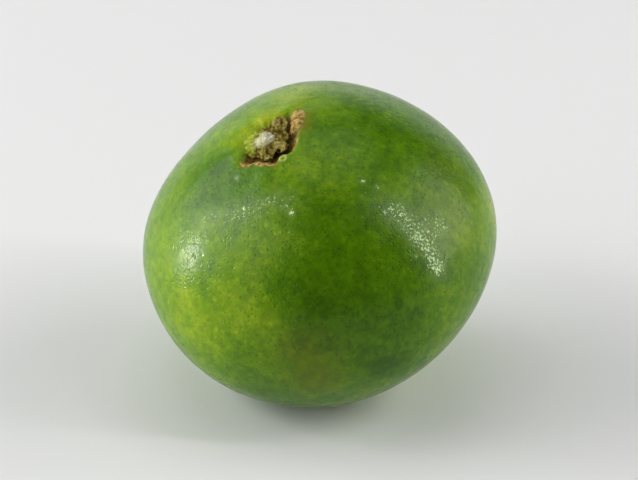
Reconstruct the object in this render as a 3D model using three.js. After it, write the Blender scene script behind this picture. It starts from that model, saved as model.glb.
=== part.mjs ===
// A satsuma mandarin, picked green, at its real size in millimetres, +Z up.
//
// The fruit is one solid: an oblate berry with a leathery rind, a steep little basin round its stem
// and a shallow dimple at its blossom end. The stem end carries two dry pieces: the calyx, a ring of
// five sepals that lies in the basin, and the stem stub, the short peg of cut stem inside the ring.
// The fruit leans on a small flat spot, where its soft rind has settled, and the stem end looks up
// and to one side. The origin is the centre of the box's underside, on the surface that it rests on.

import * as THREE from "three";
import { mergeVertices } from "three/addons/utils/BufferGeometryUtils.js";

const { clamp, degToRad, euclideanModulo, lerp, radToDeg } = THREE.MathUtils;

// The berry, about its own stem axis.
const EQUATOR_RADIUS = 32.5;
const POLE_HEIGHT = 26.6; // centre to either end, before the ends are shaped
const SHOULDER_EASE = 0.03; // share by which the shoulders fall inside an ellipse
const SWELL_SPREAD = degToRad(26);
const SWELLS = [
  // broad low swells: angle from the stem axis, turn about it, and height
  { from: 102, turn: 3, height: 0.65 },
  { from: 43, turn: 84, height: 1.2 },
  { from: 68, turn: 172, height: 1.05 },
  { from: 137, turn: -96, height: 0.35 },
];

// The stem end: a wide low cone, the basin in its top, and faint furrows that run down from it.
const CONE_RISE = 1.5;
const CONE_SPREAD = 15;
const BASIN_CENTRE = { x: -1.3, y: 0.1 };
const BASIN_DEPTH = 2.4;
const BASIN_RADIUS = 5;
const BASIN_CORNERS = [
  // where its rim runs out further: direction, how much further, and half-width of the corner
  { at: 54, reach: 1.6, width: 17 },
  { at: 150, reach: 0.4, width: 30 },
  { at: -144, reach: 1, width: 17 },
  { at: -85, reach: 0.8, width: 9 },
  { at: -38, reach: 0.35, width: 20 },
];
const BASIN_STEEPNESS = 7; // 2 is a soft dish, and higher powers have a steeper wall
const GENTLE_SIDE = { at: 150, steepness: 2.6, width: 50 }; // where the wall is a gentle slope
const FURROWS = 10; // one over each wall between the segments
const FURROW_DEPTH = 0.15;
const FURROW_MIDDLE = 10; // distance from the stem axis at which the furrows are deepest
const FURROW_SPREAD = 4.5;

// The blossom end.
const NAVEL_DEPTH = 0.9;
const NAVEL_RADIUS = 5;

// How the fruit leans, and the flat spot that it leans on.
const LEAN = degToRad(21.5);
const LEAN_TOWARDS = degToRad(-141); // from +X, seen from above
const PRESS_DEPTH = 1.1; // how far the rind has settled
const PRESS_EDGE = 0.35; // how softly the flat spot runs into the rind

// The dry pieces at the stem, about an axis a little off the middle of the basin.
const GAP = 0.3; // clearance between neighbouring pieces
const STEM = { x: -2.2, y: 0.7 };
const STUB_RADIUS = 2.2;
const STUB_FOOT_RADIUS = 1.8;
const STUB_LIFT = 0.6; // clearance under the stub
const STUB_HEIGHT = 1.3;
const STUB_RIM = 0.45; // round-over of the cut end
const STUB_CROWN = 0.15; // how far the middle of the cut end stands proud
const CUT_SLOPE = 0.1; // the cut slants up towards +X
const SEPALS = [
  // direction, and reach from the stem's axis: the one at 150 degrees is broken short
  { at: 47, reach: 6 },
  { at: -3, reach: 4.4 },
  { at: -40, reach: 5.3 },
  { at: -84, reach: 4.8 },
  { at: 150, reach: 3.7 },
];
const SEPAL_NOTCH = 3.4; // distance from the stem's axis to the notches between sepals
const SEPAL_SHARPNESS = 16;
const SEPAL_LIFT = 0.45; // clearance under the sepals
const SEPAL_THICKNESS = 1.5; // at the stem, where the sepals are one fleshy ring
const SEPAL_TIP_THICKNESS = 0.45;
const SEPAL_CURL = 0.3; // how far the tips lift off the rind

// Facets.
const FRUIT_DETAIL = 18;
const STEM_CROWDING = 0.62; // share by which the facets shrink towards the stem
const CROWDING_REACH = degToRad(45);
const RING_TURNS = 80;
const RING_STEPS = 7;
const STUB_TURNS = 36;
const WELD = 1e-4; // vertices closer than this are one

const RIND = new THREE.MeshStandardMaterial({
  name: "rind",
  color: 0x5c8a24,
  roughness: 0.45,
  metalness: 0,
});
const DRY_SEPAL = new THREE.MeshStandardMaterial({
  name: "dry_sepal",
  color: 0x6b4a22,
  roughness: 0.85,
  metalness: 0,
});
const CUT_STEM = new THREE.MeshStandardMaterial({
  name: "cut_stem",
  color: 0xc9c49a,
  roughness: 0.8,
  metalness: 0,
});

const bell = (distance, spread) => Math.exp(-((distance / spread) ** 2));

// A unit vector at an angle from the stem axis and a turn about it.
const towards = (from, turn) =>
  new THREE.Vector3(Math.sin(from) * Math.cos(turn), Math.sin(from) * Math.sin(turn), Math.cos(from));

// Degrees between two directions about the axis.
const turnBetween = (a, b) => Math.abs(euclideanModulo(a - b + 180, 360) - 180);

// How far the rind sinks into the basin at a point beside the stem axis: 1 at its middle, and close
// to 0 beyond its rim.
function basinSink(x, y) {
  const dx = x - BASIN_CENTRE.x;
  const dy = y - BASIN_CENTRE.y;
  const turn = radToDeg(Math.atan2(dy, dx));
  const rim = BASIN_CORNERS.reduce(
    (sum, { at, reach, width }) => sum + reach * bell(turnBetween(turn, at), width),
    BASIN_RADIUS,
  );
  const gentle = bell(turnBetween(turn, GENTLE_SIDE.at), GENTLE_SIDE.width);
  const steepness = lerp(BASIN_STEEPNESS, GENTLE_SIDE.steepness, gentle);
  return Math.exp(-((Math.hypot(dx, dy) / rim) ** steepness));
}

// Height of the stem end's shaping above the plain berry, over a point beside the stem axis.
function stemEnd(x, y) {
  const distance = Math.hypot(x, y);
  const cone = CONE_RISE * bell(distance, CONE_SPREAD);
  const basin = BASIN_DEPTH * basinSink(x, y);
  const folded = 0.5 - 0.5 * Math.cos(FURROWS * Math.atan2(y, x));
  const furrow = FURROW_DEPTH * folded * bell(distance - FURROW_MIDDLE, FURROW_SPREAD);
  return cone - basin - furrow;
}

// How far the swells lift the surface in a direction from the berry's centre.
function swellHeight(direction) {
  return SWELLS.reduce((sum, { from, turn, height }) => {
    const away = direction.angleTo(towards(degToRad(from), degToRad(turn)));
    return sum + height * bell(away, SWELL_SPREAD);
  }, 0);
}

// The berry's surface in a direction from its centre: an ellipsoid with eased shoulders and a few
// broad swells, with its two ends shaped.
function berryPoint(direction) {
  const across = Math.hypot(direction.x, direction.y);
  const point = new THREE.Vector3(
    EQUATOR_RADIUS * direction.x,
    EQUATOR_RADIUS * direction.y,
    POLE_HEIGHT * direction.z * (1 - SHOULDER_EASE * across ** 2),
  );
  if (direction.z > 0) point.z += stemEnd(point.x, point.y);
  else point.z += NAVEL_DEPTH * bell(EQUATOR_RADIUS * across, NAVEL_RADIUS);
  return point.addScaledVector(direction, swellHeight(direction));
}

// Height of the berry's surface over a point near the stem axis, where a swell lifts it straight up.
function basinFloor(x, y) {
  const across = Math.hypot(x, y) / EQUATOR_RADIUS;
  const direction = towards(Math.asin(across), Math.atan2(y, x));
  return berryPoint(direction).z;
}

// Moves every vertex of a geometry, and leaves it with position alone.
function reshape(geometry, move) {
  geometry.deleteAttribute("normal");
  geometry.deleteAttribute("uv");
  const shaped = mergeVertices(geometry, WELD);
  const position = shaped.attributes.position;
  const point = new THREE.Vector3();
  for (let i = 0; i < position.count; i++) {
    point.fromBufferAttribute(position, i);
    const moved = move(point);
    position.setXYZ(i, moved.x, moved.y, moved.z);
  }
  shaped.computeVertexNormals();
  return shaped;
}

// A direction drawn towards the stem, so that the facets are small where the shape is fine.
function crowd(direction) {
  const from = Math.acos(clamp(direction.z, -1, 1));
  const drawn = from * (1 - STEM_CROWDING * bell(from, CROWDING_REACH));
  return towards(drawn, Math.atan2(direction.y, direction.x));
}

// The turn from the berry's own axes to the way that it lies: a tilt straight towards one side.
const leanTurn = new THREE.Quaternion().setFromAxisAngle(
  new THREE.Vector3(-Math.sin(LEAN_TOWARDS), Math.cos(LEAN_TOWARDS), 0),
  LEAN,
);

// A height after the rind has settled on the plane at floor: flat below it, and rounded at its edge.
function settle(height, floor) {
  const above = height - floor;
  if (above >= PRESS_EDGE) return height;
  if (above <= -PRESS_EDGE) return floor;
  return floor + (above + PRESS_EDGE) ** 2 / (4 * PRESS_EDGE);
}

// The leaning berry, settled on its flat spot.
function fruitGeometry() {
  const sphere = new THREE.IcosahedronGeometry(1, FRUIT_DETAIL);
  const leaning = reshape(sphere, (direction) =>
    berryPoint(crowd(direction)).applyQuaternion(leanTurn),
  );
  leaning.computeBoundingBox();
  const floor = leaning.boundingBox.min.z + PRESS_DEPTH;
  return reshape(leaning, (point) => point.setZ(settle(point.z, floor)));
}

// Reach of the calyx in a direction: the furthest of its sepals there, each a blunt petal outline.
function sepalReach(turn) {
  const reaches = SEPALS.map(({ at, reach }) => {
    const petal = Math.max(0, Math.cos(turn - degToRad(at))) ** SEPAL_SHARPNESS;
    return lerp(SEPAL_NOTCH, reach, petal);
  });
  return Math.max(...reaches);
}

// The calyx: a flat ring bent onto the basin. Before it is bent, a vertex's distance from the axis
// runs from 1 at the stem to 2 at the sepals' edge, and its height from 0 below to 1 above.
function calyxGeometry() {
  const profile = [];
  for (let i = 0; i <= RING_STEPS; i++) profile.push(new THREE.Vector2(1 + i / RING_STEPS, 0));
  for (let i = RING_STEPS; i >= 0; i--) profile.push(new THREE.Vector2(1 + i / RING_STEPS, 1));
  profile.push(profile[0].clone());
  const ring = new THREE.LatheGeometry(profile, RING_TURNS);
  ring.rotateX(Math.PI / 2);
  return reshape(ring, ({ x, y, z }) => {
    const turn = Math.atan2(y, x);
    const outwards = Math.hypot(x, y) - 1;
    const distance = lerp(STUB_RADIUS + GAP, sepalReach(turn), outwards);
    const px = STEM.x + distance * Math.cos(turn);
    const py = STEM.y + distance * Math.sin(turn);
    const underside = basinFloor(px, py) + SEPAL_LIFT + SEPAL_CURL * outwards ** 2;
    const thickness = lerp(SEPAL_THICKNESS, SEPAL_TIP_THICKNESS, outwards);
    return new THREE.Vector3(px, py, underside + thickness * z);
  });
}

// The stub: a round peg, a little waisted at its foot, with a slanting cut end and a rounded rim.
function stubGeometry() {
  const rimStart = STUB_HEIGHT - STUB_RIM;
  const round = STUB_RIM * (1 - Math.SQRT1_2);
  const profile = [
    new THREE.Vector2(0, 0),
    new THREE.Vector2(STUB_FOOT_RADIUS, 0),
    new THREE.Vector2(STUB_RADIUS, STUB_HEIGHT / 2),
    new THREE.Vector2(STUB_RADIUS, rimStart),
    new THREE.Vector2(STUB_RADIUS - round, STUB_HEIGHT - round),
    new THREE.Vector2(STUB_RADIUS - STUB_RIM, STUB_HEIGHT),
    new THREE.Vector2(STUB_RADIUS / 2, STUB_HEIGHT + STUB_CROWN / 2),
    new THREE.Vector2(0, STUB_HEIGHT + STUB_CROWN),
  ];
  const peg = new THREE.LatheGeometry(profile, STUB_TURNS);
  peg.rotateX(Math.PI / 2);
  const foot = basinFloor(STEM.x, STEM.y) + STUB_LIFT;
  return reshape(peg, ({ x, y, z }) => {
    const slant = z >= rimStart ? CUT_SLOPE * x : 0;
    return new THREE.Vector3(STEM.x + x, STEM.y + y, foot + z + slant);
  });
}

function piece(name, geometry, material) {
  const mesh = new THREE.Mesh(geometry, material);
  mesh.name = name;
  return mesh;
}

const fruit = piece("fruit", fruitGeometry(), RIND);

const dryPieces = new THREE.Group();
dryPieces.add(piece("calyx", calyxGeometry(), DRY_SEPAL));
dryPieces.add(piece("stem_stub", stubGeometry(), CUT_STEM));
dryPieces.quaternion.copy(leanTurn);

const satsuma = new THREE.Group();
satsuma.add(fruit, dryPieces);

// The origin goes to the middle of the box's underside.
fruit.geometry.computeBoundingBox();
const { min, max } = fruit.geometry.boundingBox;
satsuma.position.set(-(min.x + max.x) / 2, -(min.y + max.y) / 2, -min.z);

export default satsuma;
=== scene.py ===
"""A satsuma mandarin, picked green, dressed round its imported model. Lengths are in metres."""

import bpy
import numpy as np
from mathutils import Matrix, Vector


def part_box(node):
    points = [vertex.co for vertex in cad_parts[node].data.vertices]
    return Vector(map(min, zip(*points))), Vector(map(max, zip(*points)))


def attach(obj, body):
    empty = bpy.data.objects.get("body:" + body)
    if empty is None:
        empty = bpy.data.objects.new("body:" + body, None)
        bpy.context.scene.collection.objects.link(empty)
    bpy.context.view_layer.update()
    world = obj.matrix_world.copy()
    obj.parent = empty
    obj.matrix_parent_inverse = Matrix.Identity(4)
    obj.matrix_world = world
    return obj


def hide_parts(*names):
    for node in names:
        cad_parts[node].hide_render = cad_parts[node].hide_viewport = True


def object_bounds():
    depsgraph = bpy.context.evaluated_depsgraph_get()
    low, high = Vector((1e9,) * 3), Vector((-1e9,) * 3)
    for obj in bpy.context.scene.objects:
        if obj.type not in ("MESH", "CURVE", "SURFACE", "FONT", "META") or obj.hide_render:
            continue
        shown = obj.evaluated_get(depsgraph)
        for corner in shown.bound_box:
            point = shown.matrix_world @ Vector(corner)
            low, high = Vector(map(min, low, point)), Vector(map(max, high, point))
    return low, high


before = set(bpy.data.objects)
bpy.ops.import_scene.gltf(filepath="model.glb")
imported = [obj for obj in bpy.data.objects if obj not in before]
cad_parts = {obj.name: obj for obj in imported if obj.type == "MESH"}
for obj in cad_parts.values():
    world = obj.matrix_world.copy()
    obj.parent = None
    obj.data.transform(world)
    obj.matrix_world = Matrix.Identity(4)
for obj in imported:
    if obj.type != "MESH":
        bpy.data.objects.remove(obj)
packed_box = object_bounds()


# === The fruit ===================================================================================
# One berry that grew in one piece, under a leathery green rind pitted over its oil glands. The basin
# round its stem is steep but for one gentle side, and its blossom end has a dimple. It leans on a
# small flat spot, where its soft rind has settled.

EQUATOR_RADIUS = 0.0325
POLE_HEIGHT = 0.0266  # from its middle to each end, before the ends are shaped
SHOULDER_EASE = 0.03  # share by which its shoulders are lower
SWELL_SPREAD = np.radians(26)
SWELLS = (  # broad low swells: angle from the stem axis, turn about it, and height
    (102, 3, 0.00065),
    (43, 84, 0.0012),
    (68, 172, 0.00105),
    (137, -96, 0.00035),
)
CONE_RISE = 0.0015  # the low cone that the stem end rises to
CONE_SPREAD = 0.015
BASIN_CENTRE = (-0.0013, 0.0001)
BASIN_DEPTH = 0.0024
BASIN_RADIUS = 0.0050
BASIN_CORNERS = (  # where its rim runs out further: direction, how much further, and half-width
    (54, 0.0016, 17),
    (150, 0.0004, 30),
    (-144, 0.0010, 17),
    (-85, 0.0008, 9),
    (-38, 0.00035, 20),
)
BASIN_STEEPNESS = 7  # a power: the higher, the steeper its wall
GENTLE_SIDE = 150  # where its wall is a gentle slope
GENTLE_STEEPNESS = 2.6
GENTLE_WIDTH = np.radians(50)
RIM_WAVES = ((7, 0.025), (13, 0.020), (29, 0.012))  # its torn edge: waves round it, and their shares
CORK_BANDS = (  # corky stretches of the rim: direction, half-width, place, width, rise, and amount
    (33, 19, 1.15, 0.36, 0.00030, 1.25),
    (-114, 34, 1.03, 0.17, 0.00020, 1.8),
    (-20, 26, 1.08, 0.10, 0.00008, 0.62),
)
RING_SPOT = (0.00115, -0.0057)  # a small ring-shaped scar beside the basin
RING_SPOT_RADIUS = 0.0006
RING_SPOT_WIDTH = 0.00026
RING_SPOT_RISE = 0.00020
FURROWS = 10  # faint folds that run out from the basin
FURROW_DEPTH = 0.00015
FURROW_MIDDLE = 0.010  # how far out they are deepest
FURROW_SPREAD = 0.0045
NAVEL_DEPTH = 0.0009  # the dimple at the blossom end
NAVEL_RADIUS = 0.005
LEAN = np.radians(21.5)  # how far the stem axis tips from upright
LEAN_TOWARDS = np.radians(-141)  # from +X, seen from above
PRESS_DEPTH = 0.0011  # how far up the flat spot cuts
PRESS_EDGE = 0.00035  # how far its edge is rolled
RIND_STEPS = 128  # squares along each edge of the cube that the berry's grid starts from
STEM_CROWDING = 0.68  # share by which the squares shrink towards the stem
CROWDING_REACH = np.radians(17)


def bell(distance, spread):
    """A smooth hump: 1 at no distance, exp(-1) at one spread, and nothing far away."""
    return np.exp(-((distance / spread) ** 2))


def towards(angle, turn):
    """Unit directions at an angle from the stem axis and a turn about it."""
    parts = np.sin(angle) * np.cos(turn), np.sin(angle) * np.sin(turn), np.cos(angle)
    return np.stack(np.broadcast_arrays(*parts), axis=-1)


def angle_from(direction, angle, turn):
    """The angle between unit directions and the one at an angle from the stem axis and a turn about
    it, both in degrees."""
    return np.arccos(np.clip(direction @ towards(*np.radians((angle, turn))), -1, 1))


def turn_between(turn, degrees):
    """The angle between turns about the stem axis and one direction in degrees."""
    return np.abs((turn - np.radians(degrees) + np.pi) % (2 * np.pi) - np.pi)


def basin_place(x, y):
    """How far out points lie in the basin, from 0 at its middle to 1 at its rim, and their turn about
    its middle. The rim is a circle, pushed out by a bell at each of its corners, with small waves."""
    east, north = x - BASIN_CENTRE[0], y - BASIN_CENTRE[1]
    turn = np.arctan2(north, east)
    rim = BASIN_RADIUS + sum(
        reach * bell(turn_between(turn, at), np.radians(width)) for at, reach, width in BASIN_CORNERS
    )
    torn = 1 + sum(height * np.sin(waves * turn + waves) for waves, height in RIM_WAVES)
    return np.hypot(east, north) / (rim * torn), turn


def cork_bands(x, y):
    """How corky each corky stretch of the rim is at points beside the stem axis, with its rise and
    its amount: a bell along the rim times a bell across it."""
    share, turn = basin_place(x, y)
    for at, half, place, width, rise, amount in CORK_BANDS:
        along = bell(turn_between(turn, at), np.radians(half))
        yield along * bell(share - place, width), rise, amount


def ring_spot(x, y):
    """A small ring: a bell of the distance from a circle."""
    return bell(np.hypot(x - RING_SPOT[0], y - RING_SPOT[1]) - RING_SPOT_RADIUS, RING_SPOT_WIDTH)


def stem_end(x, y):
    """Height of the stem end's shaping over points beside the stem axis: a wide bell, less a basin
    whose depth is exp of minus a power of the share of the way to its rim, plus the rim's corky
    stretches and the ring scar, less furrows that follow a cosine of the turn."""
    distance = np.hypot(x, y)
    cone = CONE_RISE * bell(distance, CONE_SPREAD)
    share, turn = basin_place(x, y)
    gentle = bell(turn_between(turn, GENTLE_SIDE), GENTLE_WIDTH)
    steepness = BASIN_STEEPNESS + (GENTLE_STEEPNESS - BASIN_STEEPNESS) * gentle
    basin = BASIN_DEPTH * np.exp(-(share**steepness))
    rise = RING_SPOT_RISE * ring_spot(x, y)
    rise += sum(band * band_rise for band, band_rise, _ in cork_bands(x, y))
    folded = 0.5 - 0.5 * np.cos(FURROWS * np.arctan2(y, x))
    furrow = FURROW_DEPTH * folded * bell(distance - FURROW_MIDDLE, FURROW_SPREAD)
    return cone - basin + rise - furrow


def berry(direction):
    """The berry's surface in unit directions from its centre: an ellipsoid whose height eases off
    with the square of the distance across, with its two ends shaped, plus a few broad bells of
    swelling along the direction."""
    across = np.hypot(direction[..., 0], direction[..., 1])
    x = EQUATOR_RADIUS * direction[..., 0]
    y = EQUATOR_RADIUS * direction[..., 1]
    z = POLE_HEIGHT * direction[..., 2] * (1 - SHOULDER_EASE * across**2)
    dimple = NAVEL_DEPTH * bell(EQUATOR_RADIUS * across, NAVEL_RADIUS)
    z = z + np.where(direction[..., 2] > 0, stem_end(x, y), dimple)
    swelling = sum(
        height * bell(angle_from(direction, angle, turn), SWELL_SPREAD) for angle, turn, height in SWELLS
    )
    return np.stack([x, y, z], axis=-1) + direction * swelling[..., None]


def ball_grid(steps):
    """Unit directions and square faces over a whole ball. Each of a cube's six faces carries a grid
    of two angles whose tangents give the place on it, and the faces' shared edges are welded."""
    tangents = np.tan(np.linspace(-np.pi / 4, np.pi / 4, steps + 1))
    first, second = np.meshgrid(tangents, tangents, indexing="ij")
    one = np.ones_like(first)
    near = np.stack([one, first, second], axis=-1)
    far = np.stack([-one, second, first], axis=-1)
    sides = [np.roll(side, shift, axis=-1) for side in (near, far) for shift in range(3)]
    sides = np.concatenate([side.reshape(-1, 3) for side in sides])
    sides /= np.linalg.norm(sides, axis=1, keepdims=True)
    corner = np.arange((steps + 1) ** 2).reshape(steps + 1, steps + 1)
    loop = [corner[:-1, :-1], corner[1:, :-1], corner[1:, 1:], corner[:-1, 1:]]
    square = np.stack(loop, axis=-1).reshape(-1, 4)
    squares = np.concatenate([square + side * corner.size for side in range(6)])
    _, kept, place = np.unique(np.round(sides, 6), axis=0, return_index=True, return_inverse=True)
    return sides[kept], place.reshape(-1)[squares]


def crowded(direction):
    """Directions drawn towards the stem: the angle from it shrinks by a share that fades as a bell."""
    angle = np.arccos(np.clip(direction[..., 2], -1, 1))
    drawn = angle * (1 - STEM_CROWDING * bell(angle, CROWDING_REACH))
    return towards(drawn, np.arctan2(direction[..., 1], direction[..., 0]))


LEAN_AXIS = Vector((-np.sin(LEAN_TOWARDS), np.cos(LEAN_TOWARDS), 0))
LEAN_TURN = np.array(Matrix.Rotation(LEAN, 3, LEAN_AXIS))


def settled(height, floor):
    """Heights after the rind has settled on a floor: flat below it, and a parabola at its edge."""
    above = height - floor
    rolled = floor + (np.clip(above, -PRESS_EDGE, PRESS_EDGE) + PRESS_EDGE) ** 2 / (4 * PRESS_EDGE)
    return np.where(above > PRESS_EDGE, height, rolled)


def new_mesh(name, points, squares):
    """A smooth mesh from an array of points and an array of square faces."""
    mesh = bpy.data.meshes.new(name)
    mesh.vertices.add(len(points))
    mesh.vertices.foreach_set("co", np.ascontiguousarray(points, np.float32).ravel())
    mesh.loops.add(squares.size)
    mesh.loops.foreach_set("vertex_index", squares.astype(np.int32).ravel())
    mesh.polygons.add(len(squares))
    mesh.polygons.foreach_set("loop_start", np.arange(0, squares.size, 4, dtype=np.int32))
    mesh.polygons.foreach_set("use_smooth", np.ones(len(squares), bool))
    mesh.update(calc_edges=True)
    return mesh


def put_in_scene(name, data):
    """A new object that holds a mesh, a light or a camera, put in the scene."""
    thing = bpy.data.objects.new(name, data)
    bpy.context.scene.collection.objects.link(thing)
    return thing


def per_point(mesh, name, values):
    """Stores one number for each point of a mesh, for its material to read."""
    stored = mesh.attributes.new(name, "FLOAT", "POINT")
    stored.data.foreach_set("value", np.ascontiguousarray(values, np.float32).ravel())


def add(tree, kind, feeds, **settings):
    """Adds a node to a tree, with its settings. Each input in feeds takes a value or a link."""
    node = tree.nodes.new(kind)
    for name, value in settings.items():
        setattr(node, name, value)
    for key, value in feeds.items():
        if isinstance(value, bpy.types.NodeSocket):
            tree.links.new(value, node.inputs[key])
        else:
            node.inputs[key].default_value = value
    return node


def maths(tree, operation, first, second):
    """One sum, product or other operation on two numbers."""
    return add(tree, "ShaderNodeMath", {0: first, 1: second}, operation=operation).outputs[0]


def times(tree, first, second):
    """The product of two numbers."""
    return maths(tree, "MULTIPLY", first, second)


def plus(tree, first, second):
    """The sum of two numbers."""
    return maths(tree, "ADD", first, second)


def eased(tree, value, low, high, to_low=0.0, to_high=1.0):
    """A number carried smoothly from one range to another, and held at its ends."""
    feeds = {"Value": value, "From Min": low, "From Max": high, "To Min": to_low, "To Max": to_high}
    return add(tree, "ShaderNodeMapRange", feeds, interpolation_type="SMOOTHSTEP").outputs[0]


def noise(tree, where, size, detail=2.0, roughness=0.5):
    """Cloudy noise from 0 to 1, whose patches are about one size across."""
    feeds = {"Vector": where, "Detail": detail, "Roughness": roughness}
    feeds["Scale"] = maths(tree, "DIVIDE", 1.0, size)
    return add(tree, "ShaderNodeTexNoise", feeds).outputs[0]


def sampled(mesh, field):
    """What a field reads at each point of a mesh, worked out by the same nodes that a material holds."""
    tree = bpy.data.node_groups.new("sampling", "GeometryNodeTree")
    tree.interface.new_socket("Geometry", in_out="INPUT", socket_type="NodeSocketGeometry")
    tree.interface.new_socket("Geometry", in_out="OUTPUT", socket_type="NodeSocketGeometry")
    start = tree.nodes.new("NodeGroupInput")
    where = tree.nodes.new("GeometryNodeInputPosition").outputs[0]
    feeds = {"Geometry": start.outputs[0], "Name": "sample", "Value": field(tree, where)}
    stored = add(tree, "GeometryNodeStoreNamedAttribute", feeds)
    add(tree, "NodeGroupOutput", {"Geometry": stored.outputs[0]})
    holder = put_in_scene("sampling", mesh)
    holder.modifiers.new("sampling", "NODES").node_group = tree
    evaluated = holder.evaluated_get(bpy.context.evaluated_depsgraph_get())
    values = np.empty(len(mesh.vertices), np.float32)
    evaluated.data.attributes["sample"].data.foreach_get("value", values)
    bpy.data.objects.remove(holder)
    bpy.data.node_groups.remove(tree)
    return values


def cloudiness(mesh, size, **settings):
    """Cloudy noise at each point of a mesh, from half a step down to half a step up."""
    return sampled(mesh, lambda tree, where: noise(tree, where, size, **settings)) - 0.5


def raised(mesh, relief):
    """Moves each point of a mesh along its normal by its own height."""
    points = np.empty(len(mesh.vertices) * 3, np.float32)
    normals = np.empty_like(points)
    mesh.vertices.foreach_get("co", points)
    mesh.vertices.foreach_get("normal", normals)
    points += normals * np.repeat(relief, 3)
    mesh.vertices.foreach_set("co", points)
    mesh.update()


GLAND_PITCH = 0.0013  # the large oil glands
GLAND_RADIUS = 0.00058
GLAND_DEPTH = 0.00008
GLAND_MESH_SHARE = 0.6  # of the glands' depth, what the mesh carries: the bump carries the rest
PORE_PITCH = 0.00068  # the small ones between them
PORE_RADIUS = 0.00030
PORE_DEPTH = 0.000055
PEEL_WAVE = 0.0045  # the rind's slow unevenness
PEEL_WAVE_HEIGHT = 0.00011
WEAKEST_POINT = 0.35  # the strength of the weakest of many scattered points: the strongest has 1
DENSITY_EDGE = 0.01  # how sharply a density picks its points


def scattered(tree, where, pitch, radius, density=None):
    """How near a place is to the nearest of many scattered points, from 0 between them to 1 at them.
    Each point has its own share of strength. Where a density is given, only that share is there."""
    cells = add(tree, "ShaderNodeTexVoronoi", {"Vector": where, "Scale": 1 / pitch})
    bowl = eased(tree, cells.outputs["Distance"], 0.0, radius / pitch, 1.0, 0.0)
    own = add(tree, "ShaderNodeSeparateXYZ", {0: cells.outputs["Color"]}).outputs[0]
    if density is None:
        return times(tree, bowl, eased(tree, own, 0.0, 1.0, WEAKEST_POINT, 1.0))
    picked = eased(tree, maths(tree, "SUBTRACT", density, own), 0.0, DENSITY_EDGE)
    return times(tree, bowl, picked)


def glands(tree, where):
    """The pits over the large oil glands, from 0 between them to 1 at their middles."""
    return scattered(tree, where, GLAND_PITCH, GLAND_RADIUS)


def skin_relief(tree, where):
    """Height of the rind's skin in the mesh: a slow unevenness, less a share of its glands' pits."""
    wave = maths(tree, "SUBTRACT", noise(tree, where, PEEL_WAVE, detail=3.0), 0.5)
    pit = times(tree, glands(tree, where), GLAND_DEPTH * GLAND_MESH_SHARE)
    return maths(tree, "SUBTRACT", times(tree, wave, PEEL_WAVE_HEIGHT), pit)


even, rind_squares = ball_grid(RIND_STEPS)
out = crowded(even)
berry_points = berry(out)
lying = berry_points @ LEAN_TURN.T
lying[:, 2] = settled(lying[:, 2], lying[:, 2].min() + PRESS_DEPTH)
fruit_low, fruit_high = (np.array(corner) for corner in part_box("fruit"))
middle = (lying.min(axis=0) + lying.max(axis=0)) / 2
BERRY_PLACE = np.array([*((fruit_low + fruit_high) / 2 - middle)[:2], fruit_low[2] - lying[:, 2].min()])


def laid(points):
    """Points in the berry's own axes, turned to the way that it lies and put in its place."""
    return points @ LEAN_TURN.T + BERRY_PLACE


rind_mesh = new_mesh("fruit_skin", lying + BERRY_PLACE, rind_squares)

# How yellow the rind is: angle from the stem axis, turn about it, spread, and amount.
RIPE_BASE = 0.30
RIPE_PATCHES = (
    (72, -136, 22, 0.30),
    (62, -109, 12, 0.16),
    (84, -103, 13, 0.12),
    (9, 150, 8, 0.40),
    (40, -140, 14, 0.12),
    (15, 128, 15, 0.26),
    (20, -168, 9, -0.27),
    (24, -139, 9, -0.14),
    (16, 2, 7, -0.08),
    (61, -6, 15, -0.15),
    (46, 9, 10, -0.14),
    (33, -167, 12, -0.22),
    (25, 172, 9, -0.20),
    (17, -77, 6, 0.18),
    (34, -113, 6, 0.10),
    (29, -44, 7, 0.11),
    (48, -55, 7, 0.09),
    (50, -134, 9, -0.08),
    (20, 65, 11, 0.27),
    (12, 95, 5, 0.24),
    (26, -102, 8, 0.16),
    (41, -102, 10, 0.24),
    (64, -104, 8, 0.22),
    (66, -159, 14, 0.22),
    (56, -58, 8, 0.14),
    (58, -75, 8, 0.12),
    (28, 80, 14, 0.14),
    (14, -40, 9, 0.16),
    (32, 2, 11, 0.03),
    (62, -16, 18, 0.18),
    (92, -10, 22, 0.26),
    (38, 168, 22, 0.20),
    (62, -62, 24, -0.14),
    (58, -84, 11, -0.10),
    # This row deepens the green low on the front: partly the rind's own tone, partly painted shade, as
    # though other fruit lay against it there.
    (92, -70, 16, -0.18),
    (74, -60, 12, -0.08),
    (86, -124, 13, -0.12),
    (180, 0, 34, 0.60),
    (70, 62, 28, 0.14),
    (105, 118, 26, 0.34),
    (62, 112, 20, -0.12),
)
RUSSET_PATCHES = (  # faintly browned: the same figures
    (66, -25, 16, 0.13),
    (60, -2, 12, 0.08),
    (78, -94, 9, 0.22),
    (94, -94, 8, 0.30),
    (9, 25, 2.6, 0.80),
    (9.5, 6, 2.4, 0.18),
    (11.5, 40, 3, 0.60),
)


def patched(rows):
    """The sum of broad bells over the rind, each round its own direction from the berry's centre."""
    return sum(
        amount * bell(angle_from(out, angle, turn), np.radians(spread))
        for angle, turn, spread, amount in rows
    )


per_point(rind_mesh, "ripeness", RIPE_BASE + patched(RIPE_PATCHES))
per_point(rind_mesh, "russet", patched(RUSSET_PATCHES))

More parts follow.
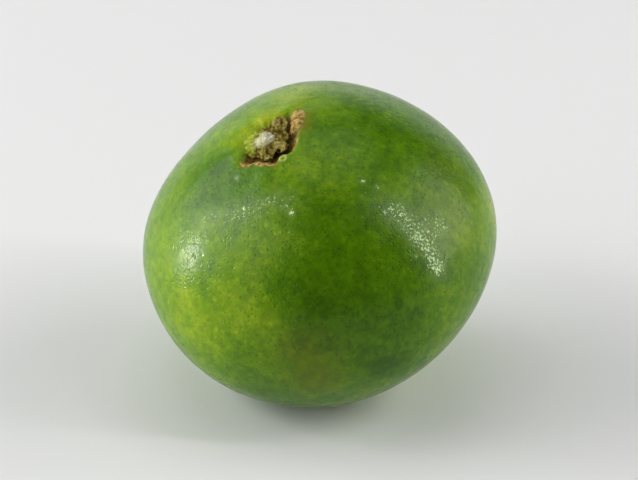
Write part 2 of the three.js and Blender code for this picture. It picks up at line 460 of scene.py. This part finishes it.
# Cork: dry tan tissue on stretches of the basin's rim and at the navel. Below the rim the basin's
# wall is stained brown, but for the side where the rind is still fresh. Round it the skin is matt.
NAVEL_CORK_RADIUS = 0.0011
STAIN_FREE_SIDE = 140
STAIN_FREE_WIDTH = np.radians(60)
STAIN_FREE_DEPTH = 1.3  # over 1, so that some way round it is quite clear
STAIN_TOP = 1.04  # where the stain starts below the rim, as a share of the way out to it
STAIN_FADE = 0.12
MATT_RADIUS = 0.0085
upper_half = out[:, 2] > 0
beside = berry_points[:, 0], berry_points[:, 1]
from_stem = np.hypot(*beside)
basin_share, basin_turn = basin_place(*beside)
rim_cork = sum(band * amount for band, _, amount in cork_bands(*beside))
cork_amount = np.where(upper_half, rim_cork, bell(from_stem, NAVEL_CORK_RADIUS))
unstained = STAIN_FREE_DEPTH * bell(turn_between(basin_turn, STAIN_FREE_SIDE), STAIN_FREE_WIDTH)
stain_amount = np.clip(1 - unstained, 0, 1) * np.clip((STAIN_TOP - basin_share) / STAIN_FADE, 0, 1)
stain_amount = stain_amount * upper_half
per_point(rind_mesh, "cork", cork_amount)
per_point(rind_mesh, "ring", ring_spot(*beside) * upper_half)
per_point(rind_mesh, "stain", stain_amount)
per_point(rind_mesh, "matt", bell(from_stem, MATT_RADIUS) * upper_half)

# Wax and sheen: stretches of skin where the wax is crumbly, which carry a painted sheen and painted
# glints on its crumbs.
WAX_AND_SHEEN_STRIPS = (  # angle from the stem axis, turn, half-length down the berry, half-width, amount
    (49, -39.5, 6, 4.8, 0.60),
    (65, -41.3, 12, 3.4, 0.64),
    (73, -43, 5, 3.6, 0.60),
    (76, -41, 2.5, 3, 0.28),
    (62, -34, 8, 7.5, 0.54),
    (57, -38, 4, 4, 0.12),
    (65, -29, 4, 4, 0.32),
    (64.3, -46.4, 0.8, 0.7, 1.1),
    (42, -43, 6, 7, 0.22),
    (36, -150, 2.5, 5, 0.40),
    (33, -141, 3.5, 6, 0.42),
    (29, -127, 3.5, 6, 0.46),
    (26, -114, 3.5, 6, 0.44),
    (23, -100, 3.5, 5, 0.42),
    (26, -88, 3.5, 4, 0.42),
    (36, -112, 8, 14, 0.24),
    (33.4, -38, 0.9, 0.8, 1.2),
    (38, -35.4, 0.9, 0.7, 1.0),
    (29.5, -85.3, 1.0, 0.8, 1.4),
    (18.2, -140.8, 0.9, 0.9, 1.4),
    (48, -143, 6, 3, 0.40),
)
angle_of = np.arccos(np.clip(out[:, 2], -1, 1))
turn_of = np.arctan2(out[:, 1], out[:, 0])
wax_and_sheen_amount = sum(
    amount
    * bell(turn_between(turn_of, turn) * np.sin(angle_of), np.radians(width))
    * bell(angle_of - np.radians(angle), np.radians(length))
    for angle, turn, length, width, amount in WAX_AND_SHEEN_STRIPS
)
per_point(rind_mesh, "wax_and_sheen", wax_and_sheen_amount)

CRUST_SIZE = 0.0009  # the crust on the cork and, less, on the stained wall
CRUST_HEIGHT = 0.00045
STAIN_CRUST = 0.7  # the stained wall's share of it
crust = cloudiness(rind_mesh, CRUST_SIZE, detail=4.0, roughness=0.6)
crusty = np.clip(cork_amount + STAIN_CRUST * stain_amount, 0, 1)
raised(rind_mesh, sampled(rind_mesh, skin_relief) * (1 - crusty) + crust * CRUST_HEIGHT * crusty)

fruit_skin = put_in_scene("fruit_skin", rind_mesh)


def new_material(name):
    """A new material, with its node tree, its shader and the place on the object that it colours."""
    material = bpy.data.materials.new(name)
    material.use_nodes = True
    tree = material.node_tree
    shader = next(node for node in tree.nodes if node.type == "BSDF_PRINCIPLED")
    where = tree.nodes.new("ShaderNodeTexCoord").outputs["Object"]
    return material, tree, shader, where


def stored(tree, name):
    """A number stored for each point of the mesh."""
    return add(tree, "ShaderNodeAttribute", {}, attribute_name=name).outputs["Fac"]


def ramp(tree, value, stops):
    """A colour picked along a run of stops, each a place from 0 to 1 and a colour."""
    node = add(tree, "ShaderNodeValToRGB", {"Fac": value})
    elements = node.color_ramp.elements
    while len(elements) < len(stops):
        elements.new(0.5)
    for element, (place, colour) in zip(elements, stops):
        element.position = place
        element.color = (*colour, 1)
    return node.outputs["Color"]


def mixed(tree, share, first, second, blend="MIX"):
    """Two colours mixed by a share. Each is a link or a colour. Inputs 6 and 7 and output 2 are the
    Mix node's own ones for colours."""
    feeds = {0: share, 6: first, 7: second}
    for key in (6, 7):
        if not isinstance(feeds[key], bpy.types.NodeSocket):
            feeds[key] = (*feeds[key], 1)
    return add(tree, "ShaderNodeMix", feeds, data_type="RGBA", blend_type=blend).outputs[2]


def effect(name, inputs, build):
    """A node group that materials share, with its named inputs. What build makes of them comes out."""
    group = bpy.data.node_groups.new(name, "ShaderNodeTree")
    for key in inputs:
        kind = "NodeSocketVector" if key == "Place" else "NodeSocketFloat"
        group.interface.new_socket(key, in_out="INPUT", socket_type=kind)
    given = group.nodes.new("NodeGroupInput").outputs
    made = build(group, *(given[key] for key in inputs))
    for key in made:
        group.interface.new_socket(key, in_out="OUTPUT", socket_type="NodeSocketFloat")
    add(group, "NodeGroupOutput", made)
    return group


def dry_crumbs(tree, where, size, depth):
    """Crumbling tissue, as cork, dead sepals and old wood have: how high each crumb stands from 0 to
    1, and its relief at a depth."""
    crumb = noise(tree, where, size, detail=4.0, roughness=0.65)
    return {"Crumb": crumb, "Relief": times(tree, crumb, depth)}


crumbling = effect("dry_crumbs", ("Place", "Crumb Size", "Crumb Depth"), dry_crumbs)


def crumbled(tree, where, size, depth):
    """What the crumbling effect gives in one material, for its own crumb size and depth."""
    feeds = {"Place": where, "Crumb Size": size, "Crumb Depth": depth}
    return add(tree, "ShaderNodeGroup", feeds, node_tree=crumbling).outputs


def roughened(tree, shader, height):
    """Gives a shader the fine relief of a height, through a bump."""
    bump = add(tree, "ShaderNodeBump", {"Height": height, "Distance": 1.0, "Strength": 1.0})
    tree.links.new(bump.outputs[0], shader.inputs["Normal"])


RIND_COLOURS = (  # from deep green to yellow
    (0.0, (0.045, 0.128, 0.001)),
    (0.3, (0.088, 0.215, 0.002)),
    (0.6, (0.180, 0.325, 0.004)),
    (0.85, (0.29, 0.41, 0.008)),
    (1.0, (0.40, 0.46, 0.013)),
)
RIPE_CLOUDS = ((0.013, 0.12), (0.0045, 0.04), (0.0022, 0.08), (0.0009, 0.06))  # patch size, amount
CLOUD_RANGE = (0.3, 0.7)  # what most cloudy noise lies between
GLAND_RIPENESS = 0.16  # the skin is yellower over a large gland
PORE_RIPENESS = 0.27  # and greener over a small one
SHADE_SIZE = 0.0015  # the fine mottling, a little darker here and there
SHADE_RANGE = (0.35, 0.65)
SHADE_DEPTH = 0.81
CRUMB_SIZE = 0.0006
CRUMB_DEPTH = 0.0002
BLOTCH_SIZE = 0.0016
RUSSET_COLOUR = (0.200, 0.145, 0.008)
CORK_COLOURS = (
    (0.32, (0.080, 0.042, 0.008)),
    (0.46, (0.29, 0.185, 0.040)),
    (0.62, (0.60, 0.44, 0.14)),
)
STAIN_COLOURS = (
    (0.38, (0.070, 0.034, 0.003)),
    (0.58, (0.200, 0.125, 0.016)),
)
RING_COLOUR = (0.52, 0.53, 0.15)

rind, tree, shader, where = new_material("rind")
ripe = stored(tree, "ripeness")
for patch, amount in RIPE_CLOUDS:
    cloud = noise(tree, where, patch, detail=3.0, roughness=0.55)
    ripe = plus(tree, ripe, eased(tree, cloud, *CLOUD_RANGE, -amount, amount))
pores = scattered(tree, where, PORE_PITCH, PORE_RADIUS)
ripe = plus(tree, ripe, times(tree, glands(tree, where), GLAND_RIPENESS))
ripe = plus(tree, ripe, times(tree, pores, -PORE_RIPENESS))
shade = eased(tree, noise(tree, where, SHADE_SIZE, detail=4.0, roughness=0.7), *SHADE_RANGE)
colour = mixed(tree, shade, ramp(tree, ripe, RIND_COLOURS), (SHADE_DEPTH,) * 3, "MULTIPLY")

# Cork, stain and ring take hold where their amount and the crumbling together are high. A browned
# edge leads up to the cork. A hold gives where a finish starts and where it is full, and then its
# strength at the two where that isn't 0 and 1.
CRUMB_PULL = 0.75  # how far the crumbs and the blotches push the cork's edge about
BLOTCH_PULL = 0.55
CORK_HOLD = (1.02, 1.25)
BROWNED_HOLD = (0.75, 1.15, 0.0, 0.8)
BROWNED_LEAST, BROWNED_MOST = 0.7, 1.3  # how far the blotches weaken and strengthen it
STAIN_PULL = 0.5
STAIN_HOLD = (0.45, 0.75)
RING_PULL = 0.8
RING_HOLD = (0.7, 1.3, 0.0, 0.8)
crumbs = crumbled(tree, where, CRUMB_SIZE, CRUMB_DEPTH)
crumb = crumbs["Crumb"]
blotch = noise(tree, where, BLOTCH_SIZE)
ragged = plus(tree, times(tree, crumb, CRUMB_PULL), times(tree, blotch, BLOTCH_PULL))
corky = plus(tree, stored(tree, "cork"), ragged)
browned = maths(tree, "MAXIMUM", stored(tree, "russet"), eased(tree, corky, *BROWNED_HOLD))
uneven = eased(tree, blotch, *CLOUD_RANGE, BROWNED_LEAST, BROWNED_MOST)
browned = times(tree, browned, uneven)
colour = mixed(tree, browned, colour, RUSSET_COLOUR)
stained = plus(tree, stored(tree, "stain"), times(tree, crumb, STAIN_PULL))
stained = eased(tree, stained, *STAIN_HOLD)
colour = mixed(tree, stained, colour, ramp(tree, crumb, STAIN_COLOURS))
corked = eased(tree, corky, *CORK_HOLD)
colour = mixed(tree, corked, colour, ramp(tree, crumb, CORK_COLOURS))
ringed = plus(tree, stored(tree, "ring"), times(tree, crumb, RING_PULL))
colour = mixed(tree, eased(tree, ringed, *RING_HOLD), colour, RING_COLOUR)

# Wax: a pale film of painted sheen, with thick crumbs along the stretches of wax and sheen, and a few
# crumbs alone elsewhere. The crumbs stand up from the skin, and their pale colour is painted glint. The
# lone ones' round shapes are shoved about by a fine noise.
PAINTED_GLINT_COLOUR = (0.68, 0.93, 0.45)
PAINTED_SHEEN_COLOUR = (0.80, 0.88, 0.58)
PAINTED_SHEEN_SHARE = 0.20
WAX_GRAIN = 0.00042
WAX_HOLD = (0.695, 0.73)  # of the grain and the wax and sheen amount together
WAX_AND_SHEEN_SHARE = 0.215
LONE_PITCH = 0.00062
LONE_RADIUS = 0.00028
LONE_DENSITY = 0.002
LONE_HOLD = (0.05, 0.6)
GLINT_WHITENESS = (0.2, 0.8, 0.55, 1.0)  # a faint and a strong stretch, and how white the crumbs' painted glints are
SHOVE_SIZE = 0.0005
SHOVE = 0.0004
wax_and_sheen_here = stored(tree, "wax_and_sheen")
feeds = {"Vector": where, "Scale": 1 / SHOVE_SIZE, "Detail": 2.0}
shove = add(tree, "ShaderNodeTexNoise", feeds).outputs["Color"]
feeds = {0: shove, 1: (SHOVE,) * 3, 2: where}
shoved = add(tree, "ShaderNodeVectorMath", feeds, operation="MULTIPLY_ADD").outputs[0]
alone = scattered(tree, shoved, LONE_PITCH, LONE_RADIUS, LONE_DENSITY)
grain = noise(tree, where, WAX_GRAIN, detail=4.0, roughness=0.7)
thick = eased(tree, plus(tree, grain, times(tree, wax_and_sheen_here, WAX_AND_SHEEN_SHARE)), *WAX_HOLD)
wax_crumbs_and_glints = maths(tree, "MAXIMUM", eased(tree, alone, *LONE_HOLD), thick)
glint_whiteness = eased(tree, wax_and_sheen_here, *GLINT_WHITENESS)
# Painted sheen: a pale film mixed into the colour where the stretches of wax and sheen lie.
colour = mixed(tree, times(tree, wax_and_sheen_here, times(tree, blotch, PAINTED_SHEEN_SHARE)), colour, PAINTED_SHEEN_COLOUR)
# Painted glints: the crumbs' pale colour stands in for the light that they catch.
colour = mixed(tree, times(tree, wax_crumbs_and_glints, glint_whiteness), colour, PAINTED_GLINT_COLOUR)
tree.links.new(colour, shader.inputs["Base Color"])

GLOSS_PATCH = 0.006
SMOOTHEST, DULLEST = 0.18, 0.28
MATT_MORE = 0.15  # what the matt skin round the basin adds
CORK_ROUGHNESS = 0.85
STAIN_ROUGHNESS = 0.7
RIND_SPECULAR = 0.165
rough = noise(tree, where, GLOSS_PATCH, detail=3.0)
rough = eased(tree, rough, *CLOUD_RANGE, SMOOTHEST, DULLEST)
rough = plus(tree, rough, times(tree, stored(tree, "matt"), MATT_MORE))
for mask, roughness in ((corked, CORK_ROUGHNESS), (stained, STAIN_ROUGHNESS)):
    rough = maths(tree, "MAXIMUM", rough, times(tree, mask, roughness))
tree.links.new(rough, shader.inputs["Roughness"])
shader.inputs["Specular IOR Level"].default_value = RIND_SPECULAR

GRAIN_SIZE = 0.00035
GRAIN_HEIGHT = 0.00003
WAX_HEIGHT = 0.00005
height = times(tree, crumbs["Relief"], maths(tree, "MAXIMUM", corked, stained))
for part, rise in (
    (noise(tree, where, GRAIN_SIZE, detail=3.0), GRAIN_HEIGHT),
    (glands(tree, where), -GLAND_DEPTH * (1 - GLAND_MESH_SHARE)),
    (pores, -PORE_DEPTH),
    (wax_crumbs_and_glints, WAX_HEIGHT),
):
    height = plus(tree, height, times(tree, part, rise))
roughened(tree, shader, height)
rind_mesh.materials.append(rind)
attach(fruit_skin, "root")
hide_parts("fruit")


# === The calyx ===================================================================================
# The ring of five sepals that held the fruit: dry, brown and brittle, lying in the basin, with
# ragged edges. The one on the basin's gentle side is broken short, and the ring is still fleshy
# and green there, and grown into the basin's wall.

STEM = (-0.0022, 0.0007)  # the stem's own axis, a little off the berry's
STUB_RADIUS = 0.0022
RING_INSIDE = 0.85 * STUB_RADIUS  # it closes over the stub's edge
SEPALS = ((47, 0.0060), (-3, 0.0044), (-40, 0.0053), (-84, 0.0048), (150, 0.0037))  # direction, reach
SEPAL_NOTCH = 0.0034  # how far the ring reaches between them
SEPAL_SHARPNESS = 16  # a power: the higher, the narrower each one
SEPAL_LIFT = 0.00045  # how far they lie off the basin's floor
RING_THICKNESS = 0.0017  # where the sepals grow together
SEPAL_TIP_THICKNESS = 0.00045
SECTION_ROUNDING = 0.5  # a power: the lower, the squarer the ring's section
SEPAL_CURL = 0.0003  # how far their tips curl up
SEPAL_CREASE = 0.00035  # the crease between each two sepals
RAGGED = ((7, 0.00018), (17, 0.00012), (31, 0.00009))  # waves round the edge, and their heights
HOLES = ((0.0003, -0.00275, 0.00022, 0.0008), (-0.0008, -0.0037, 0.00040, 0.0005))  # place, radius, depth
TONES = (  # where it is paler or darker: place, radius and amount
    (-0.0008, 0.0032, 0.0013, 0.03),
    (0.0012, 0.0045, 0.0012, -0.04),
    (0.0009, 0.0014, 0.0008, -0.04),
    (-0.0018, -0.0040, 0.0007, 0.14),
    (-0.0036, -0.0026, 0.0009, -0.10),
    (0.0012, -0.0024, 0.0010, -0.08),
    (0.0002, -0.0034, 0.0008, 0.06),
)
# Painted shade in the holes in the sepals.
HOLE_PAINTED_SHADE = 0.4
DARKEST_DEPTH = 0.0005  # how deep a hole is where its painted shade is darkest
FRESH_SIDE = 165  # the fleshy side
FRESH_WIDTH = np.radians(62)
FRESH_REACH = 0.0006  # how much further it reaches
FRESH_THINNER = 0.0005
MERGED_THINNER = 0.6  # share of its thickness that it loses where it is grown in
SUNK = 0.00015  # how far it is grown in
FRESH_SMOOTHER = 0.5  # share of the lumps and flakes that it lacks
LUMP_SIZE = 0.0011
LUMP_HEIGHT = 0.0005
FLAKE_SIZE = 0.00045
FLAKE_HEIGHT = 0.0004
CALYX_TURNS = 360
CALYX_SECTION = 96


def basin_floor(x, y):
    """Height of the berry's surface over points beside the stem axis, in the berry's own axes."""
    angle = np.arcsin(np.hypot(x, y) / EQUATOR_RADIUS)
    return berry(towards(angle, np.arctan2(y, x)))[..., 2]


def ring_grid(turns, section):
    """Two angles and square faces over a ring: once round the ring, and once round its section."""
    turn, around = np.meshgrid(
        np.arange(turns) * 2 * np.pi / turns, np.arange(section) * 2 * np.pi / section, indexing="ij"
    )
    corner = np.arange(turns * section).reshape(turns, section)
    next_turn = np.roll(corner, -1, axis=0)
    loop = [corner, next_turn, np.roll(next_turn, -1, axis=1), np.roll(corner, -1, axis=1)]
    return turn, around, np.stack(loop, axis=-1).reshape(-1, 4)


def sepal_outline(turn):
    """Reach of the ring at each turn, and how near it is to a sepal's midrib: the furthest of five
    blunt petals, each a power of the cosine of the angle from its middle."""
    petals = [np.maximum(0, np.cos(turn - np.radians(at))) ** SEPAL_SHARPNESS for at, _ in SEPALS]
    reaches = [SEPAL_NOTCH + (reach - SEPAL_NOTCH) * petal for petal, (_, reach) in zip(petals, SEPALS)]
    return np.max(reaches, axis=0), np.max(petals, axis=0)


# Round its section the ring runs out over the top and back underneath. The way out is a cosine,
# and its share of the thickness is a sine raised to a low power, with its sign kept.
sepal_turn, around, calyx_squares = ring_grid(CALYX_TURNS, CALYX_SECTION)
outwards = 0.5 - 0.5 * np.cos(around)
upper = 0.5 + 0.5 * np.sign(np.sin(around)) * np.abs(np.sin(around)) ** SECTION_ROUNDING
reach, rib = sepal_outline(sepal_turn)
reach = reach + sum(height * np.sin(waves * sepal_turn + waves) for waves, height in RAGGED)
fleshy = bell(turn_between(sepal_turn, FRESH_SIDE), FRESH_WIDTH)
merged = fleshy * outwards**2
reach = reach + FRESH_REACH * fleshy
distance = RING_INSIDE + (reach - RING_INSIDE) * outwards
east = STEM[0] + distance * np.cos(sepal_turn)
north = STEM[1] + distance * np.sin(sepal_turn)
at_stub = RING_THICKNESS - FRESH_THINNER * fleshy
thickness = at_stub * (1 - outwards) + SEPAL_TIP_THICKNESS * outwards
thickness = thickness * (1 - MERGED_THINNER * merged)
clearance = (SEPAL_LIFT + SEPAL_CURL * outwards**2) * (1 - merged) - SUNK * merged
crease = SEPAL_CREASE * (1 - rib) ** 2 * np.sin(np.pi * outwards) * (upper > 0.5)
hollow = upper * sum(
    depth * bell(np.hypot(east - x, north - y), radius) for x, y, radius, depth in HOLES
)
sepal_height = basin_floor(east, north) + clearance + upper * thickness - crease - hollow
calyx_points = np.stack([east, north, sepal_height], axis=-1)
calyx_mesh = new_mesh("dry_calyx", laid(calyx_points.reshape(-1, 3)), calyx_squares)
tone_and_hole_shade = sum(amount * bell(np.hypot(east - x, north - y), radius) for x, y, radius, amount in TONES)
# Painted shade: the colour darkens in the holes, the more the deeper they are.
tone_and_hole_shade -= HOLE_PAINTED_SHADE * np.clip(hollow / DARKEST_DEPTH, 0, 1)
per_point(calyx_mesh, "fresh", fleshy)
per_point(calyx_mesh, "tone_and_hole_shade", tone_and_hole_shade)
lumps = cloudiness(calyx_mesh, LUMP_SIZE)
flakes = cloudiness(calyx_mesh, FLAKE_SIZE, detail=3.0)
dryness = 1 - FRESH_SMOOTHER * fleshy.ravel()
raised(calyx_mesh, (lumps * LUMP_HEIGHT + flakes * FLAKE_HEIGHT) * dryness)
dry_calyx = put_in_scene("dry_calyx", calyx_mesh)

SEPAL_COLOURS = (
    (0.34, (0.050, 0.025, 0.003)),
    (0.44, (0.110, 0.072, 0.008)),
    (0.51, (0.160, 0.140, 0.014)),
    (0.58, (0.275, 0.225, 0.040)),
    (0.67, (0.430, 0.345, 0.115)),
)
FRESH_COLOURS = (
    (0.30, (0.200, 0.260, 0.014)),
    (0.65, (0.370, 0.430, 0.050)),
)
SEPAL_CRUMB_SIZE = 0.0005
SEPAL_CRUMB_DEPTH = 0.00014
CRUMB_TONE = 0.65  # how far the crumbs and the veins set a sepal's tone
VEIN_TONE = 0.40
VEIN_TURN = 0.0
VEIN_SIZE = 0.0011
VEIN_RANGE = (0.25, 0.75)
FRESH_PULL = 0.5
FRESH_HOLD = (0.55, 0.95)
SEPAL_ROUGHNESS = 0.75
SEPAL_SPECULAR = 0.12
FIBRE_LENGTH = 2.9  # times a fibre's width


def plant_fibres(tree, where, turn, size):
    """Fibres side by side, as sepals and wood have: noise drawn out along Y, once its place has been
    turned by an angle about Z."""
    feeds = {"Vector": where, "Angle": turn}
    turned = add(tree, "ShaderNodeVectorRotate", feeds, rotation_type="Z_AXIS").outputs[0]
    feeds = {0: turned, 1: (1, 1 / FIBRE_LENGTH, 1)}
    drawn = add(tree, "ShaderNodeVectorMath", feeds, operation="MULTIPLY").outputs[0]
    return {"Fibre": noise(tree, drawn, size, detail=4.0, roughness=0.6)}


fibrous = effect("plant_fibres", ("Place", "Turn", "Fibre Size"), plant_fibres)


def fibred(tree, where, turn, size):
    """What the fibre effect gives in one material, for its own turn and fibre size."""
    feeds = {"Place": where, "Turn": turn, "Fibre Size": size}
    return add(tree, "ShaderNodeGroup", feeds, node_tree=fibrous).outputs["Fibre"]


sepal, tree, shader, where = new_material("dry_sepal")
crumbs = crumbled(tree, where, SEPAL_CRUMB_SIZE, SEPAL_CRUMB_DEPTH)
crumb = crumbs["Crumb"]
vein = fibred(tree, where, VEIN_TURN, VEIN_SIZE)
veined = times(tree, eased(tree, vein, *VEIN_RANGE), VEIN_TONE)
tone = plus(tree, times(tree, crumb, CRUMB_TONE), veined)
# The stored tones include the holes' painted shade.
tone = plus(tree, tone, stored(tree, "tone_and_hole_shade"))
green = plus(tree, stored(tree, "fresh"), times(tree, crumb, FRESH_PULL))
green = eased(tree, green, *FRESH_HOLD)
colour = mixed(tree, green, ramp(tree, tone, SEPAL_COLOURS), ramp(tree, crumb, FRESH_COLOURS))
tree.links.new(colour, shader.inputs["Base Color"])
shader.inputs["Roughness"].default_value = SEPAL_ROUGHNESS
shader.inputs["Specular IOR Level"].default_value = SEPAL_SPECULAR
roughened(tree, shader, crumbs["Relief"])
calyx_mesh.materials.append(sepal)
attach(dry_calyx, "root")
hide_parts("calyx")


# === The stem stub ===============================================================================
# The short peg of stem that was left when the fruit was cut off: pale dry wood inside a thin bark.
# Its cut end slants a little and is torn along its fibres. One side of it is painted greyer, as painted
# shade.

STUB_LIFT = 0.0006  # how far its foot is above the basin's floor, within the ring of sepals
STUB_HEIGHT = 0.0012
CUT_SLOPE = 0.1
CUT_EDGE = 3  # a power: the higher, the sooner the cut end gives way to the side
STUB_SQUARENESS = 4
STUB_STEPS = 64
STUB_LOBES = ((2, 0.4, 0.06), (3, 1.0, 0.06), (5, 2.0, 0.05), (9, 0.5, 0.03))  # waves, start, height
FIBRE_SIZE = 0.0009
FIBRE_TURN = 1.2
FIBRE_HEIGHT = 0.0008
SIDE_FIBRES = 0.15  # share of the fibres' height that is left on its side
WEAR_SIZE = 0.0016
WEAR_HEIGHT = 0.0009

# The peg's surface is where the fourth powers of how far out and how far up it is, as shares of its
# radius and of half its height, add up to one. Its radius waves as cosines of the turn.
ball, stub_squares = ball_grid(STUB_STEPS)
stub_turn = np.arctan2(ball[:, 1], ball[:, 0])
stub_radius = STUB_RADIUS * (
    1 + sum(height * np.cos(waves * stub_turn + start) for waves, start, height in STUB_LOBES)
)
blunt = (np.hypot(ball[:, 0], ball[:, 1]) / stub_radius) ** STUB_SQUARENESS
blunt += (np.abs(ball[:, 2]) / (STUB_HEIGHT / 2)) ** STUB_SQUARENESS
peg = ball / (blunt ** (1 / STUB_SQUARENESS))[:, None]
from_axis = np.hypot(peg[:, 0], peg[:, 1]) / stub_radius
on_top = np.clip(peg[:, 2] / (STUB_HEIGHT / 2), 0, 1) ** CUT_EDGE
peg[:, 2] += on_top * CUT_SLOPE * peg[:, 0]
stub_middle = np.array([*STEM, basin_floor(*STEM) + STUB_LIFT + STUB_HEIGHT / 2])
stub_mesh = new_mesh("cut_stem", laid(peg + stub_middle), stub_squares)
per_point(stub_mesh, "from_axis", from_axis)
per_point(stub_mesh, "on_top", on_top)
# Painted shade: the +X side is painted greyer, away from the light.
per_point(stub_mesh, "shaded_side", 0.5 + 0.5 * peg[:, 0] / STUB_RADIUS)


def wood_fibres(tree, where):
    """The wood's torn fibres, which run one way across the cut."""
    return plant_fibres(tree, where, FIBRE_TURN, FIBRE_SIZE)["Fibre"]


torn = (sampled(stub_mesh, wood_fibres) - 0.5) * (SIDE_FIBRES + (1 - SIDE_FIBRES) * on_top)
wear = cloudiness(stub_mesh, WEAR_SIZE)
raised(stub_mesh, torn * FIBRE_HEIGHT + wear * WEAR_HEIGHT)
cut_stem = put_in_scene("cut_stem", stub_mesh)

WOOD_COLOURS = (
    (0.36, (0.26, 0.26, 0.10)),
    (0.50, (0.50, 0.49, 0.24)),
    (0.62, (0.70, 0.68, 0.38)),
)
# Painted shade: darker copies of the wood's colours, for its greyer side.
SHADED_SIDE_COLOURS = (
    (0.36, (0.17, 0.155, 0.085)),
    (0.50, (0.36, 0.335, 0.215)),
    (0.62, (0.56, 0.54, 0.40)),
)
BARK_COLOURS = (
    (0.40, (0.16, 0.15, 0.035)),
    (0.60, (0.36, 0.34, 0.11)),
)
WOOD_CRUMB_DEPTH = 0.0001
SIDE_SHADE_PULL = 0.6
SIDE_SHADE_HOLD = (0.5, 1.1)
BARK_PULL = 0.5
BARK_HOLD = (0.60, 0.98, 1.0, 0.0)  # how far from the axis the pale wood starts to go and has gone
CUT_HOLD = (0.1, 0.5)
WOOD_ROUGHNESS = 0.6

wood, tree, shader, where = new_material("cut_stem")
crumbs = crumbled(tree, where, CRUMB_SIZE, WOOD_CRUMB_DEPTH)
crumb = crumbs["Crumb"]
fibre = fibred(tree, where, FIBRE_TURN, FIBRE_SIZE)
# Painted shade: the wood goes greyer towards one side.
side_shade = plus(tree, stored(tree, "shaded_side"), times(tree, crumb, SIDE_SHADE_PULL))
side_shade = eased(tree, side_shade, *SIDE_SHADE_HOLD)
pale = mixed(tree, side_shade, ramp(tree, fibre, WOOD_COLOURS), ramp(tree, fibre, SHADED_SIDE_COLOURS))
crooked = times(tree, maths(tree, "SUBTRACT", crumb, 0.5), BARK_PULL)
edge = plus(tree, stored(tree, "from_axis"), crooked)
face = eased(tree, edge, *BARK_HOLD)
face = times(tree, face, eased(tree, stored(tree, "on_top"), *CUT_HOLD))
colour = mixed(tree, face, ramp(tree, crumb, BARK_COLOURS), pale)
tree.links.new(colour, shader.inputs["Base Color"])
shader.inputs["Roughness"].default_value = WOOD_ROUGHNESS
roughened(tree, shader, crumbs["Relief"])
stub_mesh.materials.append(wood)
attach(cut_stem, "root")
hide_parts("stem_stub")


# === The studio ==================================================================================
# A plain pale floor, a dim room, soft lights to the left, to the right and overhead, and the camera.
# The walls and the card light the fruit broadly. The strips give the narrow sheen on its shoulders.

FLOOR_REACH = 3.0
FLOOR_COLOUR = (0.84, 0.84, 0.84, 1)
FLOOR_ROUGHNESS = 0.6
corners = np.array([[-1, -1, 0], [1, -1, 0], [1, 1, 0], [-1, 1, 0]]) * FLOOR_REACH
floor_mesh = new_mesh("floor", corners, np.array([[0, 1, 2, 3]]))
floor = put_in_scene("floor", floor_mesh)
pale_floor, _, shader, _ = new_material("pale_floor")
shader.inputs["Base Color"].default_value = FLOOR_COLOUR
shader.inputs["Roughness"].default_value = FLOOR_ROUGHNESS
floor_mesh.materials.append(pale_floor)

# The room round the fruit is dim, but for a bright band low down behind it. A heading's parts run
# from -1 to 1: how far back it points, and how far up.
ROOM_COLOUR = (1.0, 0.99, 0.97, 1)
BAND_BACK = (0.65, 0.95, 0.12, 1.15)  # where the band starts and is full, and the light there
BAND_UP = (0.1, 0.55, 1.0, 0.10)  # how high it is full and has gone, and the share of light there
world = bpy.data.worlds.new("studio")
world.use_nodes = True
tree = world.node_tree
background = next(node for node in tree.nodes if node.type == "BACKGROUND")
background.inputs["Color"].default_value = ROOM_COLOUR
outlook = tree.nodes.new("ShaderNodeTexCoord").outputs["Generated"]
heading = add(tree, "ShaderNodeSeparateXYZ", {0: outlook}).outputs
behind = eased(tree, heading[1], *BAND_BACK)
low = eased(tree, heading[2], *BAND_UP)
tree.links.new(times(tree, behind, low), background.inputs["Strength"])
bpy.context.scene.world = world

centre = Vector((packed_box[0][i] + packed_box[1][i]) / 2 for i in range(3))


def soft_light(name, place, size, power, roll=0.0):
    """A rectangular soft light at a place beside the fruit, facing it, rolled by degrees."""
    lamp = bpy.data.lights.new(name, "AREA")
    lamp.shape = "RECTANGLE"
    lamp.size, lamp.size_y = size
    lamp.energy = power
    lit = put_in_scene(name, lamp)
    lit.location = centre + Vector(place)
    facing = (-Vector(place)).to_track_quat("-Z", "Y").to_matrix()
    lit.rotation_euler = (facing @ Matrix.Rotation(np.radians(roll), 3, "Z")).to_euler()


soft_light("overhead_light", (-0.1, 0.35, 1.3), (1.2, 1.0), 4.4)
soft_light("left_wall", (-0.98, 0.17, 0.44), (1.10, 0.86), 9.3)
soft_light("left_front_card", (-0.76, -0.54, 0.40), (0.42, 1.1), 1.5)
soft_light("left_strip", (-0.83, -0.02, 0.55), (0.13, 0.75), 1.2, roll=-37)
soft_light("left_low_strip", (-0.985, 0.12, 0.07), (0.022, 0.22), 3.3)
soft_light("right_wall", (0.95, 0.12, 0.45), (0.8, 0.9), 6.5)
soft_light("right_strip", (0.79, -0.21, 0.515), (0.05, 1.1), 2.5, roll=11)

CAMERA_DISTANCE = 0.48
CAMERA_ELEVATION = np.radians(30)
FOCAL_LENGTH = 146  # this and the film's width are in millimetres
FILM_WIDTH = 36
lens = bpy.data.cameras.new("camera")
lens.lens = FOCAL_LENGTH
lens.sensor_width = FILM_WIDTH
camera = put_in_scene("camera", lens)
towards_camera = Vector((0, -np.cos(CAMERA_ELEVATION), np.sin(CAMERA_ELEVATION)))
camera.location = centre + towards_camera * CAMERA_DISTANCE
camera.rotation_euler = (-towards_camera).to_track_quat("-Z", "Y").to_euler()
bpy.context.scene.camera = camera
bpy.context.scene.view_settings.view_transform = "Standard"
